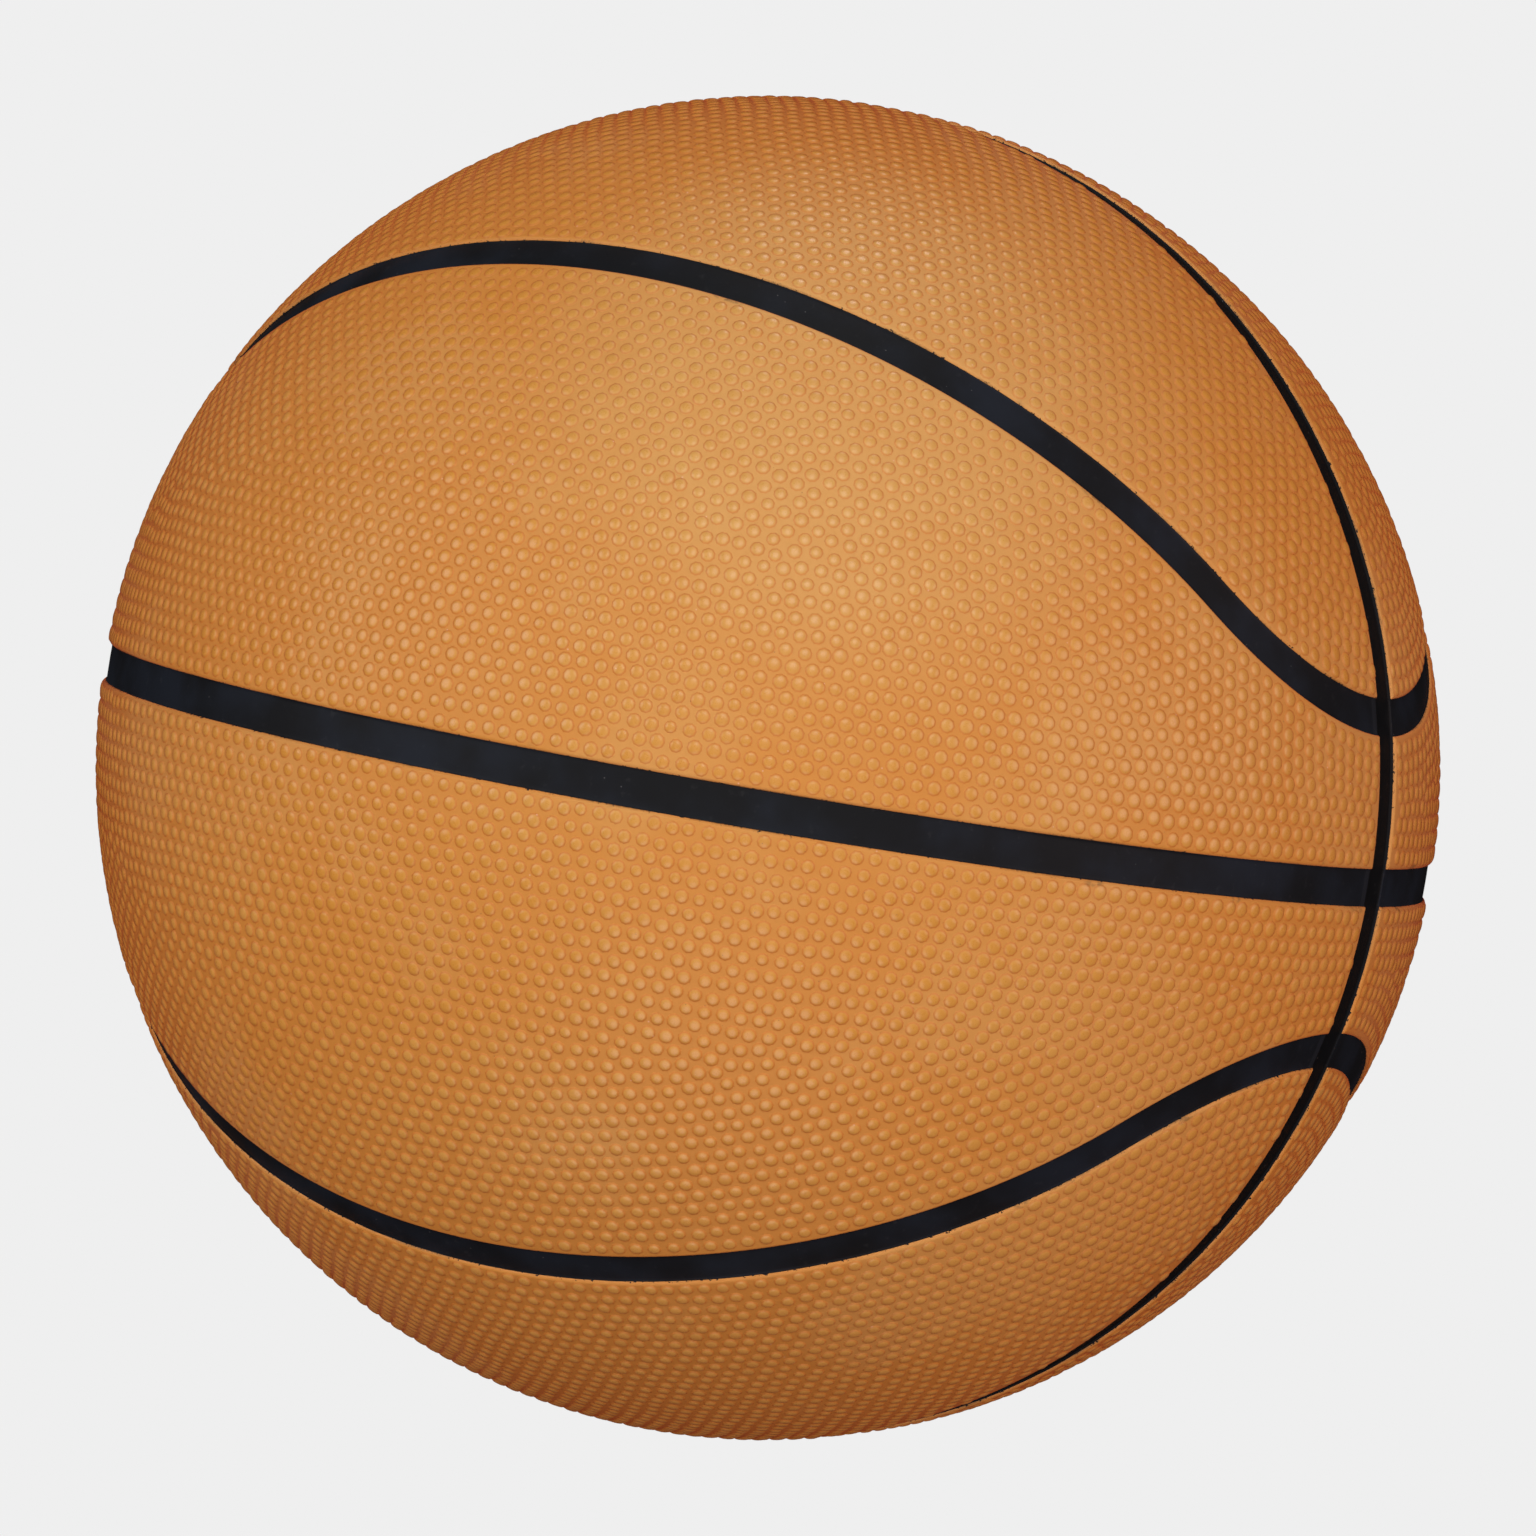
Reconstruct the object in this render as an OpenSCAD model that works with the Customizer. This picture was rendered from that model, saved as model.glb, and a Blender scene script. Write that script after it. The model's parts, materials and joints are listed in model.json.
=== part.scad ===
// Basketball, size 6: an inflated bladder in a thread winding, a black rubber carcass with raised
// channel ribs, eight orange cover panels laid between the ribs, and an inflation valve.
// The origin is the ball's centre. +Z is square to the equator channel, and the meridian channel
// lies in the plane Y = 0, so the two cross on the X axis. -Y is the front, +Y the valve side.

/* [Ball] */
// Diameter over the cover panels
ball_d = 230.4; // [180:0.1:260]

/* [Wall] */
// Thickness of a cover panel
cover_t = 1.5; // [1.2:0.1:3]
// Thickness of the carcass between its ribs
carcass_t = 0.65; // [0.4:0.05:2]
// Thickness of the nylon thread winding
winding_t = 0.35; // [0.2:0.05:1]
// Thickness of the bladder
bladder_t = 0.6; // [0.4:0.05:2]
// Bond line between two layers, and beside the ribs
bond_gap = 0.1; // [0.1:0.05:0.4]

/* [Channels] */
// Width of the channel round the equator
equator_w = 6.2; // [3:0.1:9]
// Width of the channel over the poles
meridian_w = 5.5; // [3:0.1:9]
// Width of the two loop channels
loop_w = 5.9; // [3:0.1:9]
// Depth of every channel below the panels
channel_depth = 0.9; // [0.4:0.1:1.1]
// Latitude of a loop where it crosses the front, in degrees
loop_lat = 45.8; // [35:0.1:60]
// Latitude of a loop's tip on the meridian channel, in degrees
loop_tip_lat = 14.2; // [10:0.1:25]

/* [Valve] */
// Latitude of the valve on the back, in degrees
valve_lat = 13; // [8:0.5:30]
// Radius of the housing's stem, as seen in the cover
stem_r = 4.2; // [3.6:0.1:7]
// How far the housing reaches in from the cover
stem_len = 14.5; // [13:0.5:25]
// How deep the valve's face lies under the cover
valve_recess = 0.4; // [0.1:0.1:0.8]
// Radius of the housing's flange inside the bladder
flange_r = 13; // [10:0.5:20]
// Thickness of the flange
flange_t = 0.9; // [0.5:0.1:2]
// Radius of the core's head
core_head_r = 2.9; // [2.5:0.1:3.2]
// Thickness of the core's head
core_head_t = 1.6; // [1:0.1:3]
// Radius of the core's shank
core_shank_r = 2.1; // [1.7:0.1:2.4]
// Radius of the core's inner bulb
core_bulb_r = 2.8; // [2.5:0.1:3.2]
// Length of the core's inner bulb
core_bulb_len = 2.4; // [1:0.1:4]
// Length of the whole core
core_len = 11.5; // [9:0.5:12]
// Clearance of the core in the housing, and of the stem in its holes
valve_gap = 0.1; // [0.05:0.05:0.2]
// Radius of the needle hole
needle_r = 1; // [0.7:0.1:1.2]
// Depth of the needle hole, past which the core's slit is closed
needle_depth = 6; // [4:0.5:8]
// Radius of the needle hole's funnel mouth
funnel_r = 1.6; // [1.3:0.1:2]
// Depth of the funnel mouth
funnel_depth = 0.7; // [0.3:0.1:1.5]
// Radius of the air hole at the housing's inner end
air_r = 1.3; // [0.8:0.1:2]

/* [Hidden] */
$fn = 180;
// How far a cutting body runs past what it cuts
over = 2;
cover_colour = [0.72, 0.34, 0.16];
channel_colour = [0.1, 0.1, 0.12];
valve_colour = [0.13, 0.13, 0.14];
core_colour = [0.2, 0.2, 0.21];

ball_r = ball_d / 2;
cover_in_r = ball_r - cover_t;
floor_r = ball_r - channel_depth;
carcass_out_r = cover_in_r - bond_gap;
carcass_in_r = carcass_out_r - carcass_t;
winding_out_r = carcass_in_r - bond_gap;
winding_in_r = winding_out_r - winding_t;
bladder_out_r = winding_in_r - bond_gap;
bladder_in_r = bladder_out_r - bladder_t;
flange_out_r = bladder_in_r - bond_gap;
stem_hole_r = stem_r + valve_gap;
valve_face = ball_r - valve_recess;

// A loop is two great-circle arcs, front and back, tilted loop_lat about the X axis, and an arc of
// a small circle round each tip. The small circle's angular radius follows from its being tangent
// to both great circles. side_start is where the arcs meet, as an angle round the great circle.
pull = cos(loop_lat);
tip_radius = atan2(pull * sin(loop_tip_lat), 1 - pull * cos(loop_tip_lat));
tip_centre_lat = loop_tip_lat + tip_radius;
tip_sweep = atan2(sin(loop_lat), pull * cos(tip_centre_lat));
side_start = atan2(sin(tip_centre_lat) * sin(loop_lat), cos(tip_centre_lat));
side_sweep = 180 - 2 * side_start;
// A tip arc starts some degrees back along the side arc, and is wider and deeper by tip_ease, so
// that the two arcs cross cleanly and don't just touch
tip_back = 0.5;
tip_ease = 0.05;
// Degrees by which a tip arc runs past the meridian channel's middle, or stops short of it
tip_past = 3;
tip_short = -1;
// Degrees by which the split between cap and band leaves the middle of the loop's channel, so that
// the split's faces cross inside the channel and don't just touch
split_inset = 0.7;
split_start = 4;

module shell(inner_r, outer_r) {
    difference() {
        sphere(r = outer_r);
        sphere(r = inner_r);
    }
}

// Everything on the lower side of the plane Z = top
module below(top) {
    reach = ball_r + over;
    translate([-reach, -reach, -reach]) cube([2 * reach, 2 * reach, reach + top]);
}

// Section of a channel or its rib, with its middle line along X, from below the carcass to top_r,
// grown all round by ease
module channel_section(half_w, top_r, ease = 0) {
    bottom_r = carcass_in_r - over;
    translate([bottom_r - ease, -half_w - ease])
        square([top_r - bottom_r + 2 * ease, 2 * (half_w + ease)]);
}

// The plane of an upper loop's front great circle is turned level, with the pole of the arc at +Z
module side_frame() {
    rotate([-loop_lat, 0, 0]) children();
}

// The axis of the small circle round the tip at +X is turned upright, and the plane in which the
// two arcs meet is turned to Y = 0
module tip_frame() {
    side_frame() rotate([0, 0, -side_start]) rotate([0, 90 - tip_radius, 0]) children();
}

module both_tips() {
    children();
    mirror([1, 0, 0]) children();
}

// A channel's section is swept round the front half of the upper loop. Each tip arc runs past the
// plane Y = 0, or stops short of it.
module along_loop(half_w, top_r, past) {
    side_frame()
        rotate_extrude(angle = side_sweep, start = side_start - 180)
            channel_section(half_w, top_r);
    both_tips() tip_frame()
        rotate_extrude(angle = tip_sweep + tip_back + past, start = -tip_back)
            rotate(90 - tip_radius) channel_section(half_w, top_r, tip_ease);
}

// The ball inside the loop's front half, split in the middle of the loop's channel
module inside_loop() {
    reach = ball_r + over;
    edge = tip_radius - split_inset;
    difference() {
        side_frame() translate([-reach, -reach, 0]) cube([2 * reach, 2 * reach, reach]);
        both_tips() tip_frame() rotate([0, 0, split_start])
            rotate_extrude(angle = tip_sweep)
                polygon([[0, 0], [2 * reach * sin(edge), 2 * reach * cos(edge)], [2 * reach, 0]]);
    }
}

module loop_channel() {
    along_loop(loop_w / 2, ball_r + over, tip_past);
}

module cap_panel() {
    difference() {
        intersection() {
            shell(cover_in_r, ball_r);
            inside_loop();
        }
        loop_channel();
        rotate([90, 0, 0]) below(meridian_w / 2);
    }
}

module band_panel() {
    difference() {
        shell(cover_in_r, ball_r);
        inside_loop();
        loop_channel();
        below(equator_w / 2);
        rotate([90, 0, 0]) below(meridian_w / 2);
    }
}

// The ribs start out at unlike heights, so that their tops don't coincide before they are trimmed
module loop_rib() {
    along_loop(loop_w / 2 - bond_gap, floor_r + 3 * over, tip_short);
}

module equator_rib() {
    rotate_extrude() channel_section(equator_w / 2 - bond_gap, floor_r + over);
}

module meridian_rib() {
    rotate([90, 0, 0]) rotate_extrude()
        channel_section(meridian_w / 2 - bond_gap, floor_r + 2 * over);
}

module on_valve_axis() {
    rotate([valve_lat - 90, 0, 0]) children();
}

module stem_hole() {
    on_valve_axis() cylinder(r = stem_hole_r, h = ball_r + over);
}

// Stepped outline of the core, grown by a clearance for its seat
module core_outline(grow) {
    head_bottom = valve_face - core_head_t - grow;
    bulb_top = valve_face - core_len + core_bulb_len + grow;
    bulb_bottom = valve_face - core_len - grow;
    translate([0, head_bottom]) square([core_head_r + grow, core_head_t + grow]);
    translate([0, bulb_bottom]) square([core_shank_r + grow, core_len]);
    translate([0, bulb_bottom]) square([core_bulb_r + grow, bulb_top - bulb_bottom]);
}

module bladder() {
    color("dimgray")
        difference() {
            shell(bladder_in_r, bladder_out_r);
            stem_hole();
        }
}

module thread_winding() {
    color("ivory")
        difference() {
            shell(winding_in_r, winding_out_r);
            stem_hole();
        }
}

module carcass() {
    color(channel_colour)
        difference() {
            intersection() {
                sphere(r = floor_r);
                union() {
                    sphere(r = carcass_out_r);
                    equator_rib();
                    meridian_rib();
                    loop_rib();
                    mirror([0, 1, 0]) loop_rib();
                    mirror([0, 0, 1]) loop_rib();
                    mirror([0, 0, 1]) mirror([0, 1, 0]) loop_rib();
                }
            }
            sphere(r = carcass_in_r);
            stem_hole();
        }
}

module upper_front_band() {
    color(cover_colour) band_panel();
}

module upper_back_band() {
    color(cover_colour)
        difference() {
            mirror([0, 1, 0]) band_panel();
            stem_hole();
        }
}

module upper_front_cap() {
    color(cover_colour) cap_panel();
}

module upper_back_cap() {
    color(cover_colour) mirror([0, 1, 0]) cap_panel();
}

module lower_front_band() {
    color(cover_colour) mirror([0, 0, 1]) band_panel();
}

module lower_back_band() {
    color(cover_colour) mirror([0, 0, 1]) mirror([0, 1, 0]) band_panel();
}

module lower_front_cap() {
    color(cover_colour) mirror([0, 0, 1]) cap_panel();
}

module lower_back_cap() {
    color(cover_colour) mirror([0, 0, 1]) mirror([0, 1, 0]) cap_panel();
}

module valve_housing() {
    color(valve_colour)
        on_valve_axis() rotate_extrude()
            difference() {
                union() {
                    intersection() {
                        difference() {
                            circle(r = flange_out_r);
                            circle(r = flange_out_r - flange_t);
                        }
                        square([flange_r, ball_r]);
                    }
                    translate([0, valve_face - stem_len]) square([stem_r, stem_len]);
                }
                core_outline(valve_gap);
                translate([0, valve_face - stem_len - over]) square([air_r, stem_len]);
            }
}

module valve_core() {
    color(core_colour)
        on_valve_axis() rotate_extrude()
            difference() {
                core_outline(0);
                translate([0, valve_face - needle_depth]) square([needle_r, needle_depth + over]);
                polygon([[0, valve_face - funnel_depth], [needle_r, valve_face - funnel_depth],
                         [funnel_r, valve_face], [funnel_r, valve_face + over],
                         [0, valve_face + over]]);
            }
}

bladder();
thread_winding();
carcass();
upper_front_band();
upper_back_band();
upper_front_cap();
upper_back_cap();
lower_front_band();
lower_back_band();
lower_front_cap();
lower_back_cap();
valve_housing();
valve_core();
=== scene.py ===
"""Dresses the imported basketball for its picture: pebbled cover panels with rounded shoulders, a
black carcass that shows as painted channel floors, an inflation valve, and a pale studio.

Lengths are in metres. A panel is worked out in the upper front quarter of the ball, where y is
below zero and z above it, and is mirrored into its own quarter.
"""
import json
import math

import bpy
import numpy as np
from bpy.props import FloatProperty, FloatVectorProperty, IntProperty, PointerProperty
from mathutils import Matrix, Vector


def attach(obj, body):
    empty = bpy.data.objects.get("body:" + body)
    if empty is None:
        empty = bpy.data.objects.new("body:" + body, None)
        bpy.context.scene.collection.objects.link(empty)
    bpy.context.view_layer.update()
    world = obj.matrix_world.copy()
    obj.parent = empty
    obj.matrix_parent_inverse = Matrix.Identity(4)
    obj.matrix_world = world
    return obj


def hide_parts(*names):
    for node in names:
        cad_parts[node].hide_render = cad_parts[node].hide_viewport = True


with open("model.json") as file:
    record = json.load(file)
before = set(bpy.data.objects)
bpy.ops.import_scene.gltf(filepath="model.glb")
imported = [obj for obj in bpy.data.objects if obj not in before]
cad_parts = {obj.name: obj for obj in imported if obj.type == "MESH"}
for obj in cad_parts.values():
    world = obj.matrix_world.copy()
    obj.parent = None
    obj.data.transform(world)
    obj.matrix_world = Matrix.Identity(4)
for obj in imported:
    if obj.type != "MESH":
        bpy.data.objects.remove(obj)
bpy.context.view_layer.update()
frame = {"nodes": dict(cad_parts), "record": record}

bl_info = {
    "name": "Basketball Dresser",
    "version": (1, 0, 0),
    "blender": (4, 5, 0),
    "location": "3D View > Sidebar > Ball",
    "description": "Pebbled cover, painted channels, valve and studio for a basketball",
    "category": "Object",
}

MM = 0.001
MOUNTS = {mount["name"]: mount for mount in frame["record"]["mounts"]}
BALL_R = -MOUNTS["floor_contact"]["pos_m"][2]
VALVE_AXIS = np.array(MOUNTS["needle_hole"]["axis"], float)
X_AXIS, Y_AXIS, Z_AXIS = np.eye(3)

# the CAD model's wall layers
COVER_T, BOND_GAP, CARCASS_T = 1.5 * MM, 0.1 * MM, 0.65 * MM
# holes for the valve: through the carcass, inside the collar and through the panel
STEM_HOLE_R, COLLAR_R, PANEL_HOLE_R = 4.4, 4.35, 5.2  # mm
# top of the valve's bonded flange above the ball's middle, and how far the valve's face is sunk
FLANGE_TOP, FACE_SUNK = 111.7, 0.4  # mm


def length_property(name, description, default, low, high):
    """A length whose default and limits are given in mm."""
    return FloatProperty(name=name, description=description, default=default * MM,
                         min=low * MM, max=high * MM, unit="LENGTH", precision=5)


def angle_property(name, description, default, low=-180, high=180):
    """An angle whose default and limits are given in degrees."""
    default, low, high = [math.radians(value) for value in (default, low, high)]
    return FloatProperty(name=name, description=description, default=default, min=low,
                         max=high, subtype="ANGLE", unit="ROTATION")


def colour_property(name, description, *default):
    """A colour, given as linear red, green and blue."""
    return FloatVectorProperty(name=name, description=description, default=default,
                               subtype="COLOR", size=3, min=0, max=1)


class BallChannels(bpy.types.PropertyGroup):
    """The black channels between the panels."""

    equator_width: length_property(
        "Equator Width", "Width of the channel round the equator", 6.3, 3, 9)
    meridian_width: length_property(
        "Meridian Width", "Width of the channel over the poles", 6.3, 3, 9)
    loop_width: length_property("Loop Width", "Width of the two loop channels", 6.2, 3, 9)
    depth: length_property("Depth", "Depth of a channel below the pebble tops", 0.9, 0.4, 1.1)
    shoulder: length_property("Shoulder", "Width of a panel's rounded edge", 0.75, 0.3, 2)
    groove: length_property(
        "Groove", "How much deeper the meridian channel is than the others", 0.26, 0, 0.4)
    fillet: length_property(
        "Fillet", "Width of the hollow round between a channel's floor and wall", 0.45, 0.1, 1)
    fillet_rise: length_property(
        "Fillet Rise", "How high that round climbs the wall", 0.16, 0, 0.4)
    loop_latitude: angle_property(
        "Loop Latitude", "Latitude of a loop where it crosses the front", 45.8, 35, 60)
    tip_latitude: angle_property(
        "Tip Latitude", "Latitude of a loop's tip on the meridian channel", 14.2, 10, 25)


class BallPebbles(bpy.types.PropertyGroup):
    """The pebbles of the cover."""

    spacing: length_property("Spacing", "Distance from pebble to pebble along a row", 3.0, 2, 5)
    row_pitch: length_property("Row Pitch", "Distance from row to row", 2.57, 2, 5)
    first_row: length_property(
        "First Row", "Distance of the first row from the equator channel's edge", 2.3, 1, 4)
    first_band_row: length_property(
        "First Band Row", "Distance of a band's first row from the loop's edge", 2.8, 1, 4)
    first_cap_row: length_property(
        "First Cap Row", "Distance of a cap's first row from the loop's edge", 2.05, 1, 4)
    margin: length_property(
        "Margin", "Least distance of a pebble's middle from a channel's edge", 1.25, 1, 4)
    diameter: length_property("Diameter", "Diameter of a pebble at its foot", 2.42, 1, 4)
    height: length_property("Height", "Height of a pebble", 0.28, 0.05, 0.5)
    warp: length_property("Warp", "How far the rows wander from straight", 0.3, 0, 1)
    valve_ring: length_property(
        "Valve Ring", "Radius of the bare ring of cover round the valve", 7.4, 5, 12)
    seed: IntProperty(name="Seed", description="Start of the random draws", default=7)


class BallColours(bpy.types.PropertyGroup):
    """Colours of the finishes, as linear values."""

    cover: colour_property("Cover", "Pebble tops", 0.631, 0.308, 0.05)
    valley: colour_property("Valley", "Cover between the pebbles", 0.608, 0.268, 0.038)
    # Dust and Bloom also colour the painted sheen patch at the upper front of the cover
    dust: colour_property("Dust", "Dull pebble tops, in parts of the cover", 0.65, 0.385, 0.1)
    bloom: colour_property(
        "Bloom", "Pale bloom between the pebbles, in parts of the cover", 0.64, 0.365, 0.097)
    # painted shade at the foot of each pebble's flank
    painted_crease_shade: colour_property("Crease", "Foot of a pebble's flank", 0.53, 0.152, 0.014)
    paint: colour_property("Paint", "Channel paint", 0.006, 0.0066, 0.0088)
    valve: colour_property("Valve", "Valve rubber", 0.012, 0.012, 0.014)
    bladder: colour_property("Bladder", "Bladder rubber", 0.02, 0.02, 0.022)
    thread: colour_property("Thread", "Nylon thread", 0.72, 0.68, 0.58)


class BallStudio(bpy.types.PropertyGroup):
    """Camera, floor and lights."""

    azimuth: angle_property(
        "Azimuth", "How far the camera stands round from the ball's front", 26.168)
    elevation: angle_property(
        "Elevation", "How high the camera stands above the equator", 3.402)
    lean: angle_property("Lean", "How far the ball leans to the right in the picture", 9.52)
    distance: FloatProperty(
        name="Distance", description="From the camera to the ball's middle",
        default=1.48, min=0.5, max=5, unit="LENGTH")
    lens: FloatProperty(
        name="Lens", description="Focal length on a 36 mm sensor, in mm", default=201.9,
        min=20, max=500)
    backdrop: FloatProperty(
        name="Backdrop", description="Brightness of floor and background, linear",
        default=0.863, min=0, max=1)
    ambient: FloatProperty(
        name="Ambient", description="Strength of the light from all round", default=0.015,
        min=0, max=3)


def unit(vectors):
    """The vectors, each over its own length."""
    return vectors / np.linalg.norm(vectors, axis=-1, keepdims=True)


def spokes(axis, sides):
    """Evenly spaced unit vectors square to the axis: cos a across + sin a along."""
    turn = np.linspace(0, 2 * math.pi, sides + 1)[:-1, None]
    across = unit(np.cross(axis, X_AXIS))
    along = np.cross(axis, across)
    return np.cos(turn) * across + np.sin(turn) * along


def ease(share):
    """Smooth step: 0 up to share 0, 1 from share 1, and 3s^2 - 2s^3 between them."""
    share = np.clip(share, 0, 1)
    return share * share * (3 - 2 * share)


class Seams:
    """Where the channels run, as arcs of circles on the ball in its upper front quarter.

    A loop is a great-circle side arc, tilted about the X axis by the loop's latitude, and a
    small-circle tip arc round tip_axis that is tangent to it and crosses the meridian channel at
    the tip's latitude."""

    SIDE, TIP, ROWS = 54, 30, 20  # segments of half a side arc, a tip arc and a panel's end
    # last columns, by their distance from the meridian channel's edge
    LEAD = np.array([2.6, 1.75, 1.5, 0.3, 0.12, 0, -0.12, -0.25]) * MM

    def __init__(self, channels):
        lat, tip_lat = channels.loop_latitude, channels.tip_latitude
        pull = math.cos(lat)
        self.tip_radius = math.atan2(pull * math.sin(tip_lat), 1 - pull * math.cos(tip_lat))
        centre = tip_lat + self.tip_radius
        self.tip_lat = centre
        self.tip_sweep = math.atan2(math.sin(lat), pull * math.cos(centre))
        self.side_start = math.atan2(math.sin(centre) * math.sin(lat), math.cos(centre))
        self.tip_axis = np.array([math.cos(centre), 0, math.sin(centre)])
        self.tip_low = np.array([math.sin(centre), 0, -math.cos(centre)])
        self.side_axis = np.array([0, math.sin(lat), math.cos(lat)])
        self.side_front = np.array([0, -math.cos(lat), math.sin(lat)])
        join = math.cos(self.side_start) * X_AXIS + math.sin(self.side_start) * self.side_front
        self.join_axis = np.cross(join, self.side_axis)
        self.half = {
            "equator": channels.equator_width / 2 / BALL_R,
            "meridian": channels.meridian_width / 2 / BALL_R,
            "loop": channels.loop_width / 2 / BALL_R,
        }

    def fold(self, directions):
        """The directions' images in the upper front quarter, and whether each lies on the tip
        arc's side of the place where the two arcs join."""
        folded = np.abs(directions) * (1, -1, 1)
        return folded, folded @ self.join_axis < 0

    def distances(self, directions):
        """Distance over the ball from each direction to the middle line of the equator, the
        meridian and the nearest loop channel: the angle to that circle times the ball's
        radius."""
        folded, near_tip = self.fold(directions)
        tip = self.tip_radius - np.arccos(np.clip(folded @ self.tip_axis, -1, 1))
        side = np.arcsin(np.clip(folded @ self.side_axis, -1, 1))
        return {
            "equator": BALL_R * np.arcsin(np.clip(folded[:, 2], 0, 1)),
            "meridian": BALL_R * np.arcsin(np.clip(-folded[:, 1], 0, 1)),
            "loop": BALL_R * np.abs(np.where(near_tip, tip, side)),
        }

    def inset(self, directions):
        """Distance over the ball from the nearest channel's edge, above zero on the panels."""
        far = self.distances(directions)
        return np.min([far[name] - BALL_R * self.half[name] for name in self.half], axis=0)

    def in_loop(self, directions):
        """Whether each direction lies inside a loop, in a cap."""
        folded, near_tip = self.fold(directions)
        in_tip = folded @ self.tip_axis > math.cos(self.tip_radius)
        return np.where(near_tip, in_tip, folded @ self.side_axis > 0)

    def meridian_arc(self, turn, away):
        """Points at the angle away in front of the plane Y = 0, at the angles turn round the Y
        axis."""
        ring = np.cos(turn)[:, None] * X_AXIS + np.sin(turn)[:, None] * Z_AXIS
        return math.cos(away) * ring - math.sin(away) * Y_AXIS

    def side_arc(self, turn, inside):
        """Points of a loop's side arc at the angles turn, moved inwards by the angle inside."""
        ring = np.cos(turn) * X_AXIS + np.sin(turn) * self.side_front
        return math.cos(inside) * ring + math.sin(inside) * self.side_axis

    def tip_arc(self, turn, radius):
        """Points at the angles turn on a circle of this angular radius round the tip's axis."""
        ring = np.cos(turn) * self.tip_low - np.sin(turn) * Y_AXIS
        return math.cos(radius) * self.tip_axis + math.sin(radius) * ring

    def fan(self, count, start, reach, away, full):
        """Count + 1 angles from start down to where a circle of this reach lies at the angle away
        from the plane Y = 0. They are even as far as LEAD and closer after it, at set distances
        from the meridian channel's edge, which is at the angle full. Columns past the end lie
        on it."""
        lead = np.arcsin(np.sin(np.maximum(full + self.LEAD / BALL_R, away)) / reach)
        even = np.linspace(start, lead[0], count - len(self.LEAD) + 1)
        return np.concatenate([even, lead[1:], [math.asin(math.sin(away) / reach)]])[:, None]

    def equator_arc(self, away, meridian, full):
        """Points above the equator by the angle away, from the front's middle to the meridian."""
        turn = self.fan(self.SIDE + self.TIP, math.pi / 2, math.cos(away), meridian, full)
        ring = np.cos(turn) * X_AXIS - np.sin(turn) * Y_AXIS
        return math.cos(away) * ring + math.sin(away) * Z_AXIS

    def loop_arc(self, inside, meridian, full):
        """Points beside the loop's middle line, by the angle inside, from the front's middle
        round the tip to the meridian."""
        turn = np.linspace(math.pi / 2, self.side_start, self.SIDE + 1)[:, None]
        side = self.side_arc(turn, inside)
        radius = self.tip_radius - inside
        turn = self.fan(self.TIP, self.tip_sweep, math.sin(radius), meridian, full)
        return np.concatenate([side, self.tip_arc(turn, radius)[1:]])

    def outline(self, kind, inset, share=1):
        """Edge of the upper front band or cap, as a closed ring from its -X to its +X end along
        its lower edge and back along its upper one. It lies at share of each channel's half
        width from its middle line, plus inset. A cap's ends are points, kept ROWS - 1 times, and
        its upper edge nears them in step with its lower one."""
        step = inset / BALL_R
        equator, meridian, loop = [self.half[name] * share + step for name in self.half]
        full = self.half["meridian"] + step
        beside = self.loop_arc(loop if kind == "cap" else -loop, meridian, full)
        corner = math.atan2(beside[-1, 2], beside[-1, 0])
        if kind == "cap":
            lower = beside
            steps = np.linalg.norm(np.diff(lower, axis=0), axis=1)
            ahead = np.append(np.cumsum(steps[::-1])[::-1], 0)
            turn = corner + (math.pi / 2 - corner) * ahead / ahead[0]
            upper = self.meridian_arc(turn, meridian)
            end = np.repeat(lower[-1:], self.ROWS - 1, axis=0)
        else:
            lower, upper = self.equator_arc(equator, meridian, full), beside
            start = math.atan2(lower[-1, 2], lower[-1, 0])
            end = self.meridian_arc(np.linspace(start, corner, self.ROWS + 1)[1:-1], meridian)
        flip = np.array([-1, 1, 1])
        lower, upper = [np.concatenate([half[:0:-1] * flip, half]) for half in (lower, upper)]
        return np.concatenate([lower, end, upper[::-1], (end * flip)[::-1]])


def grid_triangles(index):
    """Two triangles for each cell of a 2-D array of vertex numbers, less those with no width."""
    a, b, c, d = index[:-1, :-1], index[:-1, 1:], index[1:, 1:], index[1:, :-1]
    triangles = np.concatenate(
        [np.stack([a, b, c], -1).reshape(-1, 3), np.stack([a, c, d], -1).reshape(-1, 3)])
    return triangles[(triangles != np.roll(triangles, 1, axis=1)).all(1)]


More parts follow.
